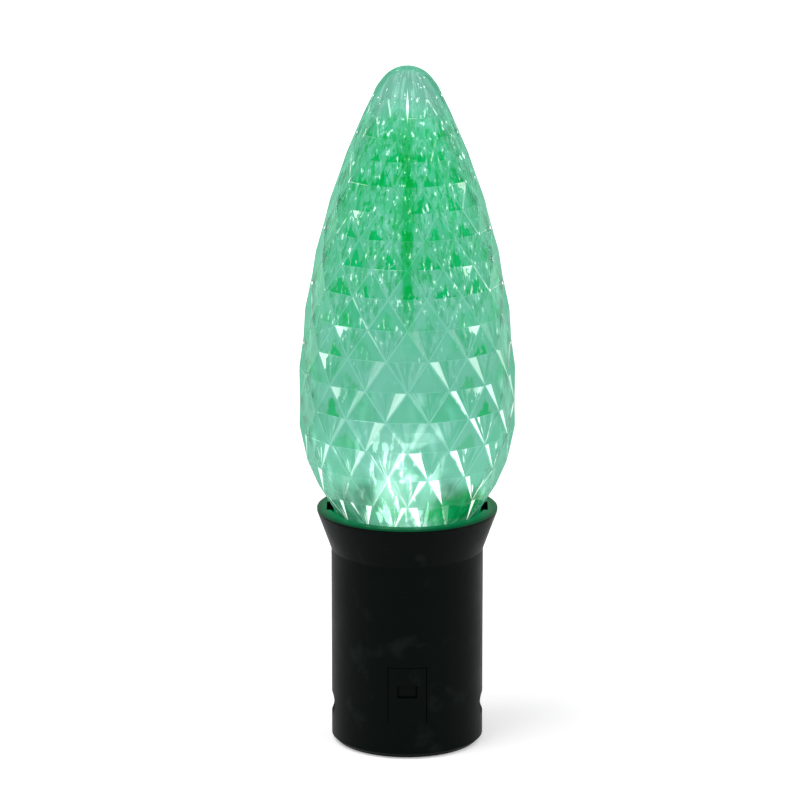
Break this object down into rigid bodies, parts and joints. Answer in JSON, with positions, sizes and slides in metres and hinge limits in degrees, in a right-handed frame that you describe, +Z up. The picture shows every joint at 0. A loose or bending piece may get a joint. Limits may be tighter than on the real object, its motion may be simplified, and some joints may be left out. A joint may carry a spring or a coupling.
{
  "type": "christmas light bulb",
  "caption": "Screw-in string light: clear green faceted cone cover over a board with small lamps, in a dark moulded holder.",
  "frame": {"origin": "middle of the holder's underside, on the surface that it stands on", "axes": "+Z up along the lamp's axis to its tip, +X along the cord passage, -Y towards the picture's camera"},
  "size_m": [0.0286, 0.0286, 0.0913],
  "materials": {
    "cover_green": "clear green, moulded facets",
    "holder_plastic": "satin, nearly black green",
    "sleeve_brass": "rolled brass sheet",
    "contact_brass": "pressed brass",
    "shell_nickel": "nickel plated, rolled thread",
    "collar_plastic": "moulded, satin",
    "insulator_black": "moulded, glossy",
    "solder": "dull solder",
    "board_white": "white solder mask",
    "led_lens": "clear cast resin, lit",
    "led_chip": "lit chip",
    "tinned_wire": "tinned",
    "chip_black": "moulded, matte",
    "resistor_blue": "lacquered",
    "capacitor_black": "shrunk sleeve",
    "wire_white": "insulated wire"
  },
  "bodies": {
    "holder": {"holder_body": "holder_plastic", "wire_cap": "holder_plastic", "thread_sleeve": "sleeve_brass", "centre_spring": "sleeve_brass"},
    "contact_tip": {"centre_contact": "contact_brass", "solder_tip": "solder"},
    "lamp": {"faceted_cover": "cover_green", "lamp_collar": "collar_plastic", "screw_shell": "shell_nickel", "base_insulator": "insulator_black", "led_board": "board_white", "rectifier_body": "chip_black", "ballast_resistor": "resistor_blue", "resistor_lead": "tinned_wire", "capacitor_body": "capacitor_black", "shell_wire": "wire_white", "contact_wire": "tinned_wire", "led_lens_1": "led_lens", "led_anode_1": "tinned_wire", "led_cathode_1": "tinned_wire", "led_chip_1": "led_chip", "led_lens_2": "led_lens", "led_anode_2": "tinned_wire", "led_cathode_2": "tinned_wire", "led_chip_2": "led_chip", "led_lens_3": "led_lens", "led_anode_3": "tinned_wire", "led_cathode_3": "tinned_wire", "led_chip_3": "led_chip", "rectifier_leg_1": "tinned_wire", "rectifier_leg_2": "tinned_wire", "rectifier_leg_3": "tinned_wire", "rectifier_leg_4": "tinned_wire", "capacitor_lead_1": "tinned_wire", "capacitor_lead_2": "tinned_wire"}
  },
  "joints": [
    {"name": "lamp_rise", "type": "slide", "parent": "holder", "child": "contact_tip", "axis": [0, 0, 1], "range_m": [0, 0.0113]},
    {"name": "lamp_turn", "type": "hinge", "parent": "contact_tip", "child": "lamp", "pos_m": [0, 0, 0.0117], "axis": [0, 0, 1], "range_deg": [0, 1440]}
  ],
  "couplings": [
    {"joint": "lamp_rise", "follows": "lamp_turn", "m_per_rad": 0.00044913}
  ]
}
